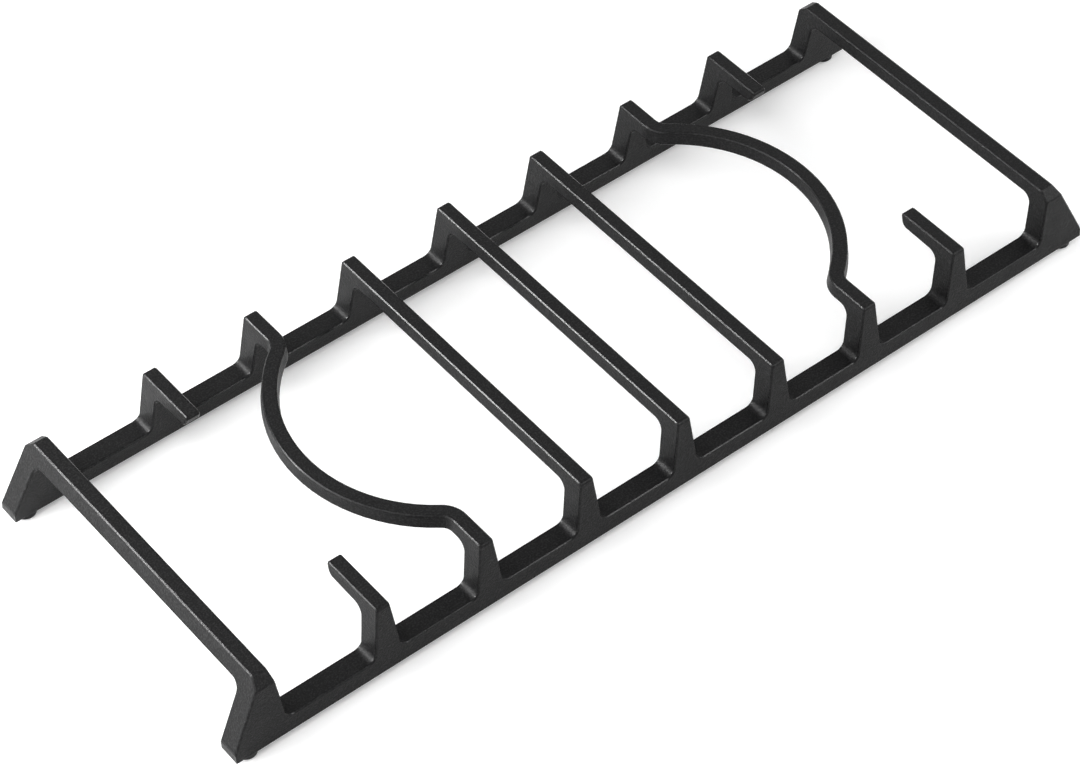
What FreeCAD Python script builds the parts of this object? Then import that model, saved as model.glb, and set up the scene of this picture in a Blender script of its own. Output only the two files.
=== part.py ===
import FreeCAD, Part
import os
from math import atan2, degrees, radians, sin, sqrt, tan

from FreeCAD import Vector

# Pan support of a gas hob, one iron casting.
# Own frame: X along the two rails, Y across them, Z up, origin on the hob plate
# under the middle of the casting. All sizes are in millimetres.

# Heights
support_height = 41.5       # hob plate to the plane that the pan stands on
foot_height = 3.8           # the bosses lift the rails this far off the hob
rail_height = 8.9
bar_depth = 7.2             # from the pan plane to the underside of a bar

# The two side walls, each a rail with its posts
wall_thickness = 10.9       # level, across the rail
wall_top_y = 85.0           # middle of the casting to a post's outer face, at the top
wall_lean = 4.55            # degrees, both faces lean outwards on the way down

# Bars and posts
bar_width = 6.8             # across the top, from corner to corner
bury = 1.0                  # bar ends and bosses run this far into their post or rail
side_draft = 6.8            # degrees, sides of bars and posts widen downwards
bar_pitch = 54.0            # middle bar to the next one, and so on
steps_to_finger = 3         # pitches from the middle bar to the fingers
steps_to_bow = 2            # pitches from the middle bar to the bowed bars

# Bowed bars, which leave a round space above each burner
bow_radius = 73.3           # centre line of the bow
bow_lead = 7.4              # straight piece at the post, along the top
bow_lead_radius = 10.0      # bend from the straight lead into the bow

# Fingers
finger_tip_y = 50.0         # middle of the casting to the tip
finger_tip_depth = 6.6      # shallower than at the root
finger_undercut = 2.6       # the nose leans back this far below the tip
finger_nose_round = 4.2
finger_tip_round = 1.4

# End frames, whose legs splay outwards
leg_reach = 240.8           # middle of the casting to the outside of a leg's toe
leg_splay = 16.1            # from there back to the outer side of the end bar, at the top
end_bar_outer = 3.7         # the end bar's own line to its outer side, at the top
leg_toe_height = 5.0        # upright part at the bottom of the leg
end_chamfer_run = 5.0       # slope at the top corner, measured along the bar
end_chamfer_drop = 4.2
end_chamfer_round = 1.6

# Foot bosses
boss_margin = 0.25          # rail left on each side of a boss
boss_end = 8.1              # outside of a leg's toe to the middle of its boss
boss_draft = 3.0            # degrees
boss_rim = 0.8              # slope round the bottom

# Softened edges of the casting
edge_break = 0.55           # small slope along every edge, measured on each face
corner_angle = 12.0         # degrees between two faces, above which they make an edge
post_top_round = 1.7        # top of a post's outer face
post_foot_round = 4.0       # post into rail
haunch_round = 4.8          # underside of a bar into its post

rail_bottom = foot_height
rail_top = rail_bottom + rail_height
bar_bottom = support_height - bar_depth
haunch_bottom = bar_bottom - 2.0 * haunch_round
finger_x = steps_to_finger * bar_pitch
bow_x = steps_to_bow * bar_pitch
end_bar_reach = leg_reach - leg_splay
end_x = end_bar_reach - end_bar_outer
draft = tan(radians(side_draft))
lean = tan(radians(wall_lean))
X_AXIS = Vector(1, 0, 0)
Y_AXIS = Vector(0, 1, 0)


def outer_y(z):
    """Distance of the walls' outer face from the middle, at height z."""
    return wall_top_y + lean * (support_height - z)


def inner_y(z):
    """Distance of the walls' inner face from the middle, at height z."""
    return outer_y(z) - wall_thickness


def bar_end_y():
    """Where the bars end, inside the posts."""
    return inner_y(haunch_bottom) + bury


def half_width(z):
    """Half the width of a bar or post at height z, with its drafted sides."""
    return bar_width / 2.0 + draft * (support_height - z)


def leg_x(z):
    """Outer face of the end frame at height z, straight from the bar to the toe."""
    toe = rail_bottom + leg_toe_height
    splay = (leg_reach - end_bar_reach) / (support_height - toe)
    return end_bar_reach + splay * (support_height - z)


def rounded_wire(corners):
    """Closed wire through (point, radius) corners, each radius a tangent arc."""
    arcs = []
    for i, (point, radius) in enumerate(corners):
        back = (corners[i - 1][0] - point).normalize()
        ahead = (corners[(i + 1) % len(corners)][0] - point).normalize()
        half = back.getAngle(ahead) / 2.0
        trim = radius / tan(half)
        middle = point + (back + ahead).normalize() * (radius / sin(half) - radius)
        arcs.append((point + back * trim, middle, point + ahead * trim, radius))
    edges = []
    for i, (start, middle, end, radius) in enumerate(arcs):
        if radius > 0.0:
            edges.append(Part.Arc(start, middle, end).toShape())
        next_start = arcs[(i + 1) % len(arcs)][0]
        edges.append(Part.LineSegment(end, next_start).toShape())
    return Part.Wire(edges)


def plate_xz(corners, y_from, y_to):
    """Outline of (x, z, radius) corners, thick from y_from to y_to."""
    wire = rounded_wire([(Vector(x, y_from, z), radius) for x, z, radius in corners])
    return Part.Face(wire).extrude(Vector(0, y_to - y_from, 0))


def plate_yz(corners, x_from, x_to):
    """Outline of (y, z, radius) corners, thick from x_from to x_to."""
    wire = rounded_wire([(Vector(x_from, y, z), radius) for y, z, radius in corners])
    return Part.Face(wire).extrude(Vector(x_to - x_from, 0, 0))


def mirrored(shape, normal):
    return shape.mirror(Vector(0, 0, 0), normal)


def post_places():
    """X of the seven inner posts, from left to right."""
    return [step * bar_pitch for step in range(-steps_to_finger, steps_to_finger + 1)]


def wall_outline():
    """Side view of rail and posts: a comb whose gaps have rounded feet."""
    half_top = half_width(support_height)
    half_foot = half_width(rail_top)
    corners = [(leg_reach, rail_bottom, 0.0), (-leg_reach, rail_bottom, 0.0),
               (-leg_reach, rail_bottom + leg_toe_height, 0.0),
               (-end_bar_reach, support_height, 0.0),
               (-end_x + half_top, support_height, 0.0),
               (-end_x + half_foot, rail_top, post_foot_round)]
    for x in post_places():
        corners += [(x - half_foot, rail_top, post_foot_round),
                    (x - half_top, support_height, 0.0),
                    (x + half_top, support_height, 0.0),
                    (x + half_foot, rail_top, post_foot_round)]
    corners += [(end_x - half_foot, rail_top, post_foot_round),
                (end_x - half_top, support_height, 0.0),
                (end_bar_reach, support_height, 0.0),
                (leg_reach, rail_bottom + leg_toe_height, 0.0)]
    return corners


def wall_section(top_corners):
    """Cross-section of the back wall, leaning outwards on its way down."""
    return ([(inner_y(rail_bottom), rail_bottom, 0.0), (outer_y(rail_bottom), rail_bottom, 0.0)]
            + top_corners + [(inner_y(support_height), support_height, 0.0)])


def back_wall():
    """Back rail with nine posts; the end posts have a sloped top corner."""
    plain_top = [(outer_y(support_height), support_height, post_top_round)]
    slope_z = support_height - end_chamfer_drop
    sloped_top = [(outer_y(slope_z), slope_z, end_chamfer_round),
                  (outer_y(slope_z) - end_chamfer_run, support_height, end_chamfer_round)]
    change_x = (finger_x + end_x) / 2.0
    middle = plate_yz(wall_section(plain_top), -change_x, change_x)
    left_end = plate_yz(wall_section(sloped_top), -leg_reach, -change_x)
    right_end = plate_yz(wall_section(sloped_top), change_x, leg_reach)
    comb = plate_xz(wall_outline(), inner_y(support_height) - 1.0, outer_y(rail_bottom) + 1.0)
    return middle.fuse([left_end, right_end]).common(comb).removeSplitter()


def haunch_corners():
    """Back end of a bar seen from the side: into the post, down and round to the underside."""
    return [(bar_end_y(), support_height, 0.0), (bar_end_y(), haunch_bottom, 0.0),
            (inner_y(haunch_bottom), haunch_bottom, 0.0),
            (inner_y(bar_bottom), bar_bottom, haunch_round)]


def sided(plate, x, left_half, right_half):
    """Gives a plate across X its two drafted sides, about the line at x."""
    y_far = outer_y(rail_bottom)
    corners = [(x - left_half(haunch_bottom), haunch_bottom, 0.0),
               (x + right_half(haunch_bottom), haunch_bottom, 0.0),
               (x + right_half(support_height), support_height, 0.0),
               (x - left_half(support_height), support_height, 0.0)]
    return plate.common(plate_xz(corners, -y_far, y_far))


def straight_bar(x, left_half=half_width, right_half=half_width):
    """A bar from wall to wall with a rounded haunch under each end."""
    back = haunch_corners()
    front = [(-y, z, radius) for y, z, radius in reversed(back)]
    reach = leg_x(haunch_bottom) - end_x + half_width(haunch_bottom)
    return sided(plate_yz(back + front, x - reach, x + reach), x, left_half, right_half)


def leg_half(z):
    """Outer half of the end frame's bar, measured from the bar's own line."""
    return leg_x(z) - end_x


def back_finger(x):
    """Short bar from the back wall, with a nose that is undercut below its tip."""
    tip_z = support_height - finger_tip_depth
    nose = [(finger_tip_y + finger_undercut, tip_z, finger_nose_round),
            (finger_tip_y, support_height, finger_tip_round)]
    reach = half_width(haunch_bottom)
    plate = plate_yz(haunch_corners() + nose, x - reach, x + reach)
    return sided(plate, x, half_width, half_width)


def bar_face(x, y):
    """Upright section of a bar, across X, with its middle at (x, y)."""
    top = half_width(support_height)
    low = half_width(bar_bottom)
    corners = [Vector(x - top, y, support_height), Vector(x + top, y, support_height),
               Vector(x + low, y, bar_bottom), Vector(x - low, y, bar_bottom)]
    return Part.Face(Part.makePolygon(corners + corners[:1]))


def bowed_bar(x):
    """Bar on the right whose middle bows outwards, as tangent arcs about upright axes."""
    lead_axis_x = x + bow_lead_radius
    lead_y = inner_y(support_height) - bow_lead
    across = sqrt((bow_radius + bow_lead_radius) ** 2 - lead_y ** 2)
    bow_centre_x = lead_axis_x - across
    turn = degrees(atan2(lead_y, across))
    up = Vector(0, 0, 1)
    bend = bar_face(x, lead_y).revolve(Vector(lead_axis_x, lead_y, 0), up, turn)
    bow_axis = Vector(bow_centre_x, 0, 0)
    bow_start = bar_face(bow_centre_x + bow_radius, 0.0)
    bow_start.rotate(bow_axis, up, -turn)
    bow = bow_start.revolve(bow_axis, up, 2.0 * turn)
    lead_end = [(lead_y, bar_bottom, 0.0), (lead_y, support_height, 0.0)]
    reach = half_width(haunch_bottom)
    lead = plate_yz(haunch_corners() + lead_end, x - reach, x + reach)
    lead = sided(lead, x, half_width, half_width)
    return [bow, bend, mirrored(bend, Y_AXIS), lead, mirrored(lead, Y_AXIS)]


def foot_boss(side_x, side_y):
    """Round boss under a corner of the casting, nearly as wide as the rail, with a sloped rim."""
    radius = wall_thickness / 2.0 - boss_margin
    rim_radius = radius - foot_height * tan(radians(boss_draft))
    outline = [Vector(0, 0, 0), Vector(rim_radius - boss_rim, 0, 0), Vector(rim_radius, 0, boss_rim),
               Vector(radius, 0, foot_height), Vector(radius, 0, foot_height + bury),
               Vector(0, 0, foot_height + bury)]
    face = Part.Face(Part.makePolygon(outline + outline[:1]))
    boss = face.revolve(Vector(0, 0, 0), Vector(0, 0, 1), 360)
    rail_middle = (inner_y(rail_bottom) + outer_y(rail_bottom)) / 2.0
    boss.translate(Vector(side_x * (leg_reach - boss_end), side_y * rail_middle, 0))
    return boss


def sharp_edges(shape, lowest):
    """Edges above a height where two faces meet at a real corner."""
    found = []
    for edge in shape.Edges:
        if edge.BoundBox.ZMin < lowest:
            continue
        middle = edge.valueAt((edge.FirstParameter + edge.LastParameter) / 2.0)
        normals = []
        for face in shape.ancestorsOfType(edge, Part.Face):
            u, v = face.Surface.parameter(middle)
            normals.append(face.normalAt(u, v))
        if normals[0].getAngle(normals[-1]) > radians(corner_angle):
            found.append(edge)
    return found


def casting():
    """Walls, bars, fingers and feet as one body, with every edge above the base softened."""
    wall = back_wall()
    finger = back_finger(finger_x)
    bow = bowed_bar(bow_x)
    pieces = [mirrored(wall, Y_AXIS), finger, mirrored(finger, X_AXIS),
              mirrored(finger, Y_AXIS), mirrored(mirrored(finger, X_AXIS), Y_AXIS)]
    pieces += bow + [mirrored(piece, X_AXIS) for piece in bow]
    pieces += [straight_bar(step * bar_pitch) for step in range(1 - steps_to_bow, steps_to_bow)]
    end_bar = straight_bar(end_x, half_width, leg_half)
    pieces += [end_bar, mirrored(end_bar, X_AXIS)]
    body = wall.fuse(pieces).removeSplitter()
    softened = body.makeChamfer(edge_break, sharp_edges(body, rail_bottom + edge_break))
    bosses = [foot_boss(side_x, side_y) for side_x in (-1, 1) for side_y in (-1, 1)]
    return softened.fuse(bosses).removeSplitter()


os.makedirs("parts", exist_ok=True)
support = casting()
print("valid", support.isValid(), "solids", len(support.Solids), "faces", len(support.Faces))
print("box", support.BoundBox, "volume cm3", support.Volume / 1000.0)
support.exportStep("parts/pan_support.step")
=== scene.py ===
from math import cos, radians, sin

import bpy
import numpy as np
from mathutils import Matrix, Vector

# Enamelled cast-iron pan support on a white table. Lengths are in metres, in the
# casting's own frame: X along the rails, Y across them, Z up from the table.

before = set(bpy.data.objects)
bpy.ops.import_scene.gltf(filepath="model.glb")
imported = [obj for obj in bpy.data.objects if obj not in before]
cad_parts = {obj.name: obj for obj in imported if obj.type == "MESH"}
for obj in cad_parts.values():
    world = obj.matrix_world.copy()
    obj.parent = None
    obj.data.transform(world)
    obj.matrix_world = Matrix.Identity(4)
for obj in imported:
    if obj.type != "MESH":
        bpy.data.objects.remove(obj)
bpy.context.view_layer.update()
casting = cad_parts["pan_support"]

# Camera, as the photograph was taken
photo_width = 1080.0                    # pixels
focal_pixels = 3457.5
sensor_width = 0.036
camera_azimuth = -38.50                 # degrees, 0 is straight in front, minus is to the left
camera_elevation = 47.79
camera_roll = -0.37
camera_distance = 1.5005
camera_target = Vector((-0.0344, -0.0288, 0.0415))
view_depth = 50.0                       # nothing in the scene is farther from the camera

# Enamel on the faces
enamel_black = (0.0045, 0.0045, 0.0047)
enamel_fleck = (0.0165, 0.0165, 0.0168)
enamel_gloss = 0.11
face_roughness = 0.42
gloss_swing = 0.05                      # clouds move the roughness this far either way
cloud_size = 0.014
grain_size = 0.0009                     # pebbly skin of the casting under the enamel
grain_depth = 0.00022
fleck_size = 0.0008                     # light grains that show through the black
fleck_start = 0.45                      # noise where a fleck begins, and where it is full
fleck_full = 0.70
rich_noise = 3.0                        # detail of the grain and of the clouds
plain_noise = 1.0                       # detail of the flecks

# Enamel on the edges, where it is drawn thin and smooth
edge_roughness = 0.18
edge_reach = 0.0012                     # how far from an edge it is smooth
edge_start = 0.97                       # openness inside the iron where an edge begins
edge_full = 0.87                        # and where it is reached
edge_grain = 0.25                       # share of the grain that is left there
edge_samples = 8
corner_soften = 0.0005                  # radius that the light sees at an edge
corner_samples = 6

# Table and room
table_size = 8.0
table_white = (0.93, 0.93, 0.93)
table_clearance = 0.0001                # keeps the sheet off the undersides of the feet
near_lift = 0.21                        # glow of the table where the shadows fall
far_lift = 0.70                         # and out where the lamps do not reach
lamp_reach = 0.36                       # from the middle of the casting
lamp_fade = 0.90                        # the table has its full glow from here on
room_white = (1.0, 1.0, 1.0)
room_light = 0.44


def direction(azimuth, elevation):
    """Unit vector from the object towards a place at these angles in degrees."""
    a = radians(azimuth)
    e = radians(elevation)
    return Vector((sin(a) * cos(e), -cos(a) * cos(e), sin(e)))


def new_tree(name):
    """Empty material with its node tree and output."""
    material = bpy.data.materials.new(name)
    material.use_nodes = True
    tree = material.node_tree
    tree.nodes.clear()
    output = tree.nodes.new("ShaderNodeOutputMaterial")
    return material, tree, output


def noise(tree, coordinates, size, detail):
    """Noise whose blobs are about this many metres across."""
    node = tree.nodes.new("ShaderNodeTexNoise")
    node.inputs["Scale"].default_value = 1.0 / size
    node.inputs["Detail"].default_value = detail
    tree.links.new(coordinates, node.inputs["Vector"])
    return node.outputs["Fac"]


def spread(tree, value, low, high, bottom=0.3, top=0.7):
    """Maps a value from bottom to top onto low to high, flat outside. The plain limits are
    those that noise seldom passes."""
    node = tree.nodes.new("ShaderNodeMapRange")
    node.inputs["From Min"].default_value = bottom
    node.inputs["From Max"].default_value = top
    node.inputs["To Min"].default_value = low
    node.inputs["To Max"].default_value = high
    tree.links.new(value, node.inputs["Value"])
    return node.outputs["Result"]


def edge_share(tree):
    """1 on the softened edges of the iron, falling to 0 on its faces."""
    depth = tree.nodes.new("ShaderNodeAmbientOcclusion")
    depth.inside = True
    depth.samples = edge_samples
    depth.inputs["Distance"].default_value = edge_reach
    return spread(tree, depth.outputs["AO"], 0.0, 1.0, edge_start, edge_full)


def blend(tree, share, start, end):
    """Number that goes from start to end as share goes from 0 to 1."""
    node = tree.nodes.new("ShaderNodeMix")
    for name, value in (("Factor", share), ("A", start), ("B", end)):
        if isinstance(value, float):
            node.inputs[name].default_value = value
        else:
            tree.links.new(value, node.inputs[name])
    return node.outputs["Result"]


def black_enamel():
    """Satin black enamel: pebbly grain, slow clouds in the gloss, smoother edges."""
    material, tree, output = new_tree("black_enamel")
    links = tree.links
    where = tree.nodes.new("ShaderNodeTexCoord").outputs["Object"]
    edge = edge_share(tree)
    shader = tree.nodes.new("ShaderNodeBsdfPrincipled")
    shader.inputs["Specular IOR Level"].default_value = enamel_gloss
    links.new(shader.outputs["BSDF"], output.inputs["Surface"])

    colour = tree.nodes.new("ShaderNodeMix")
    colour.data_type = "RGBA"
    colour.inputs["A"].default_value = (*enamel_black, 1.0)
    colour.inputs["B"].default_value = (*enamel_fleck, 1.0)
    flecks = noise(tree, where, fleck_size, plain_noise)
    share = spread(tree, flecks, 0.0, 1.0, fleck_start, fleck_full)
    links.new(share, colour.inputs["Factor"])
    links.new(colour.outputs["Result"], shader.inputs["Base Color"])

    clouds = noise(tree, where, cloud_size, rich_noise)
    satin = spread(tree, clouds, face_roughness - gloss_swing, face_roughness + gloss_swing)
    links.new(blend(tree, edge, satin, edge_roughness), shader.inputs["Roughness"])

    corner = tree.nodes.new("ShaderNodeBevel")
    corner.samples = corner_samples
    corner.inputs["Radius"].default_value = corner_soften
    bump = tree.nodes.new("ShaderNodeBump")
    bump.inputs["Distance"].default_value = grain_depth
    links.new(blend(tree, edge, 1.0, edge_grain), bump.inputs["Strength"])
    links.new(noise(tree, where, grain_size, rich_noise), bump.inputs["Height"])
    links.new(corner.outputs["Normal"], bump.inputs["Normal"])
    links.new(bump.outputs["Normal"], shader.inputs["Normal"])
    return material


def dress_casting():
    """Gives every material slot of the casting the enamel."""
    enamel = black_enamel()
    for place in casting.material_slots:
        place.material = enamel


def looked_at(tree):
    """1 on a ray from the camera, a reflection or a view through glass, 0 on lighting rays."""
    rays = tree.nodes.new("ShaderNodeLightPath")
    total = rays.outputs["Is Camera Ray"]
    for kind in ("Is Glossy Ray", "Is Transmission Ray"):
        larger = tree.nodes.new("ShaderNodeMath")
        larger.operation = "MAXIMUM"
        tree.links.new(total, larger.inputs[0])
        tree.links.new(rays.outputs[kind], larger.inputs[1])
        total = larger.outputs["Value"]
    return total


def table_finish():
    """White table with soft shadows, which glows just enough to look white where it is seen."""
    material, tree, output = new_tree("white_table")
    links = tree.links
    matt = tree.nodes.new("ShaderNodeBsdfDiffuse")
    matt.inputs["Color"].default_value = (*table_white, 1.0)
    away = tree.nodes.new("ShaderNodeVectorMath")
    away.operation = "LENGTH"
    links.new(tree.nodes.new("ShaderNodeTexCoord").outputs["Object"], away.inputs[0])
    lift = spread(tree, away.outputs["Value"], near_lift, far_lift, lamp_reach, lamp_fade)
    glow = tree.nodes.new("ShaderNodeEmission")
    links.new(lift, glow.inputs["Strength"])
    both = tree.nodes.new("ShaderNodeAddShader")
    links.new(matt.outputs["BSDF"], both.inputs[0])
    links.new(glow.outputs["Emission"], both.inputs[1])
    gate = tree.nodes.new("ShaderNodeMixShader")
    links.new(looked_at(tree), gate.inputs[0])
    links.new(matt.outputs["BSDF"], gate.inputs[1])
    links.new(both.outputs["Shader"], gate.inputs[2])
    links.new(gate.outputs["Shader"], output.inputs["Surface"])
    return material


def lay_table():
    """Square sheet right under the feet: a grid of two by two points at plus and minus half
    its size, all at the same height."""
    half = table_size / 2.0
    x, y = np.meshgrid((-half, half), (-half, half))
    points = np.stack((x, y, np.full_like(x, -table_clearance)), axis=-1).reshape(-1, 3)
    mesh = bpy.data.meshes.new("table")
    mesh.from_pydata(points.tolist(), [], [(0, 1, 3, 2)])
    mesh.materials.append(table_finish())
    table = bpy.data.objects.new("table", mesh)
    bpy.context.scene.collection.objects.link(table)


def light_room():
    """Even white room: it is seen white, also in the gloss, and lights the object softly."""
    world = bpy.data.worlds.new("room")
    bpy.context.scene.world = world
    world.use_nodes = True
    tree = world.node_tree
    tree.nodes.clear()
    output = tree.nodes.new("ShaderNodeOutputWorld")
    gate = tree.nodes.new("ShaderNodeMixShader")
    tree.links.new(looked_at(tree), gate.inputs[0])
    for place, strength in ((1, room_light), (2, 1.0)):
        air = tree.nodes.new("ShaderNodeBackground")
        air.inputs["Color"].default_value = (*room_white, 1.0)
        air.inputs["Strength"].default_value = strength
        tree.links.new(air.outputs["Background"], gate.inputs[place])
    tree.links.new(gate.outputs["Shader"], output.inputs["Surface"])


def softbox(name, azimuth, elevation, distance, width, height, power, casts=True):
    """Area lamp on a bearing from the middle of the casting, aimed at it. One that does not
    cast is only seen in the gloss and lays no hard shadow on the table."""
    lamp = bpy.data.lights.new(name, "AREA")
    lamp.shape = "RECTANGLE"
    lamp.size = width
    lamp.size_y = height
    lamp.energy = power
    holder = bpy.data.objects.new(name, lamp)
    bpy.context.scene.collection.objects.link(holder)
    towards = direction(azimuth, elevation)
    holder.location = towards * distance
    holder.rotation_euler = towards.to_track_quat("Z", "Y").to_euler()
    holder.visible_diffuse = casts


def place_camera():
    """Camera on its bearing from the target, turned about its own axis by the roll."""
    lens = bpy.data.cameras.new("camera")
    lens.sensor_fit = "HORIZONTAL"
    lens.sensor_width = sensor_width * 1000.0
    lens.lens = sensor_width * 1000.0 * focal_pixels / photo_width
    lens.clip_end = view_depth
    holder = bpy.data.objects.new("camera", lens)
    bpy.context.scene.collection.objects.link(holder)
    back = direction(camera_azimuth, camera_elevation)
    level = Vector((cos(radians(camera_azimuth)), sin(radians(camera_azimuth)), 0.0))
    upward = back.cross(level)
    turn = radians(camera_roll)
    right = cos(turn) * level + sin(turn) * upward
    top = cos(turn) * upward - sin(turn) * level
    place = Matrix((right, top, back)).transposed().to_4x4()
    place.translation = camera_target + back * camera_distance
    holder.matrix_world = place
    bpy.context.scene.camera = holder


dress_casting()
lay_table()
light_room()
# Side faces of the bars and posts
softbox("left_near", azimuth=-115.0, elevation=22.0, distance=0.75,
        width=0.5, height=0.35, power=4.4)
# Bright line along the upper left edges
softbox("left_back", azimuth=-127.5, elevation=30.5, distance=1.5,
        width=0.28, height=0.26, power=32.0, casts=False)
# Tops, and the soft shadow on the table
softbox("left_high", azimuth=-90.0, elevation=50.0, distance=1.2,
        width=1.0, height=1.0, power=10.0)
softbox("left_low", azimuth=-98.0, elevation=14.0, distance=1.0,
        width=0.5, height=0.3, power=4.2)
# Outer top edges of the posts and of the rail
softbox("front_high", azimuth=29.4, elevation=31.7, distance=1.5,
        width=0.35, height=0.3, power=8.0, casts=False)
# Front faces of the posts and the rail
softbox("right_near", azimuth=62.0, elevation=24.0, distance=0.7,
        width=0.4, height=0.3, power=1.5)
place_camera()
bpy.context.scene.view_settings.view_transform = "Standard"
